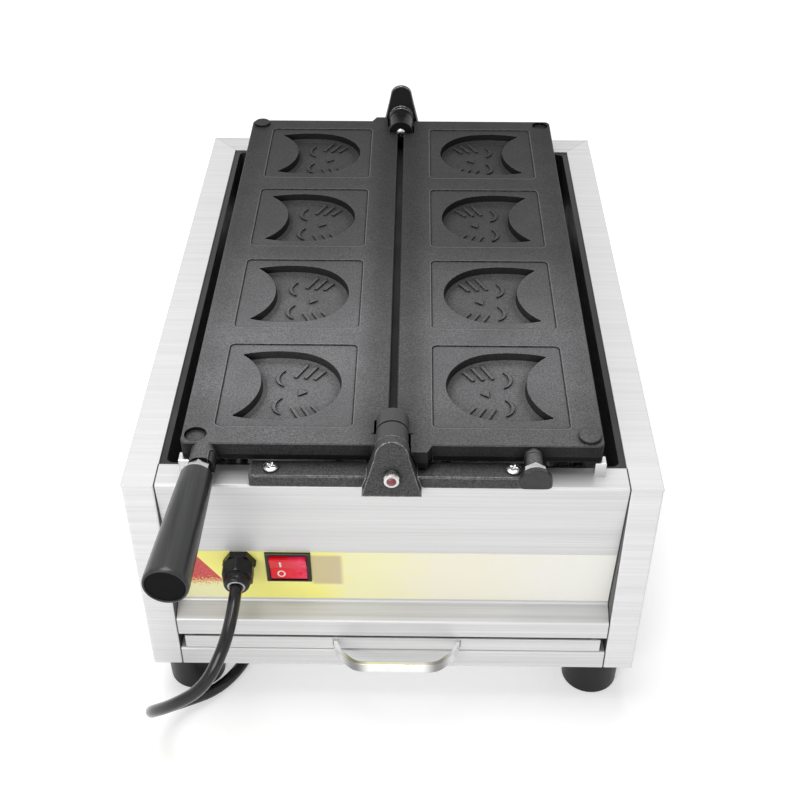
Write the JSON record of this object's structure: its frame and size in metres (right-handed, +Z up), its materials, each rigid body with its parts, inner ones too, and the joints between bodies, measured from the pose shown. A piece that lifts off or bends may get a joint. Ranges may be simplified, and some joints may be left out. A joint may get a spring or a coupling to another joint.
{
  "type": "shaped waffle maker",
  "caption": "Countertop maker of cat-shaped waffles: two cast mould plates lie open on a steel casing and each folds over onto the other; drip drawer, switch and power cord.",
  "frame": {"origin": "middle of the footprint box at the feet's underside, cord left out", "axes": "+X to the right seen from the front, +Y towards the rear, +Z up"},
  "size_m": [0.3537, 0.7344, 0.269],
  "materials": {
    "steel": "brushed stainless sheet",
    "band": "printed film, yellow fading to cream",
    "foot_rubber": "smooth black rubber",
    "fasteners": "plated steel",
    "liner": "black heat-proof enamel",
    "bracket_iron": "dark painted casting with worn edges",
    "bright_metal": "polished",
    "mould_coat": "cast, dark non-stick coat",
    "grip_plastic": "glossy black phenolic",
    "element": "heat-stained steel tube",
    "brass": "plain",
    "black_plastic": "moulded black",
    "rocker_plastic": "lit red",
    "ceramic": "off-white insulator",
    "cord_rubber": "smooth black sheath"
  },
  "bodies": {
    "casing": {"left_side_panel": "steel", "right_side_panel": "steel", "front_panel": "steel", "lower_front_rail": "steel", "rear_panel": "steel", "base_pan": "steel", "label_band": "band", "front_left_foot": "foot_rubber", "front_right_foot": "foot_rubber", "rear_left_foot": "foot_rubber", "rear_right_foot": "foot_rubber", "foot_screws": "fasteners", "chamber_liner": "liner", "centre_beam": "liner", "front_hinge_bracket": "bracket_iron", "rear_hinge_bracket": "bracket_iron", "bracket_screws": "fasteners", "pillar_bolts": "fasteners", "front_hinge_pin": "fasteners", "rear_hinge_pin": "fasteners", "rest_pads": "bright_metal", "left_heater": "element", "right_heater": "element", "left_heater_bushes": "brass", "right_heater_bushes": "brass", "left_heater_supports": "steel", "right_heater_supports": "steel", "drawer_runners": "steel", "switch_body": "black_plastic", "gland_body": "black_plastic", "gland_cap_nut": "black_plastic", "gland_locknut": "black_plastic", "thermal_cutout": "ceramic", "terminal_block": "ceramic", "cord_run": "cord_rubber", "cord_coil": "cord_rubber", "cord_tail": "cord_rubber", "plug_body": "black_plastic", "plug_pins": "brass"},
    "left_mould": {"left_mould_plate": "mould_coat", "left_grip": "grip_plastic", "left_grip_stud": "fasteners", "left_grip_nut": "fasteners"},
    "right_mould": {"right_mould_plate": "mould_coat", "right_grip": "grip_plastic", "right_grip_stud": "fasteners", "right_grip_nut": "fasteners"},
    "drawer": {"drawer_tray": "steel", "drawer_handle": "bright_metal"},
    "rocker": {"switch_rocker": "rocker_plastic"}
  },
  "joints": [
    {"name": "left_mould_hinge", "type": "hinge", "parent": "casing", "child": "left_mould", "pos_m": [0, 0.0465, 0.239], "axis": [0, 1, 0], "range_deg": [0, 180]},
    {"name": "right_mould_hinge", "type": "hinge", "parent": "casing", "child": "right_mould", "pos_m": [0, 0.0465, 0.239], "axis": [0, -1, 0], "range_deg": [0, 180]},
    {"name": "drawer_slide", "type": "slide", "parent": "casing", "child": "drawer", "axis": [0, -1, 0], "range_m": [0, 0.3]},
    {"name": "switch_rock", "type": "hinge", "parent": "casing", "child": "rocker", "pos_m": [-0.0718, -0.18453, 0.13054], "axis": [-1, 0, 0], "range_deg": [0, 16]}
  ]
}
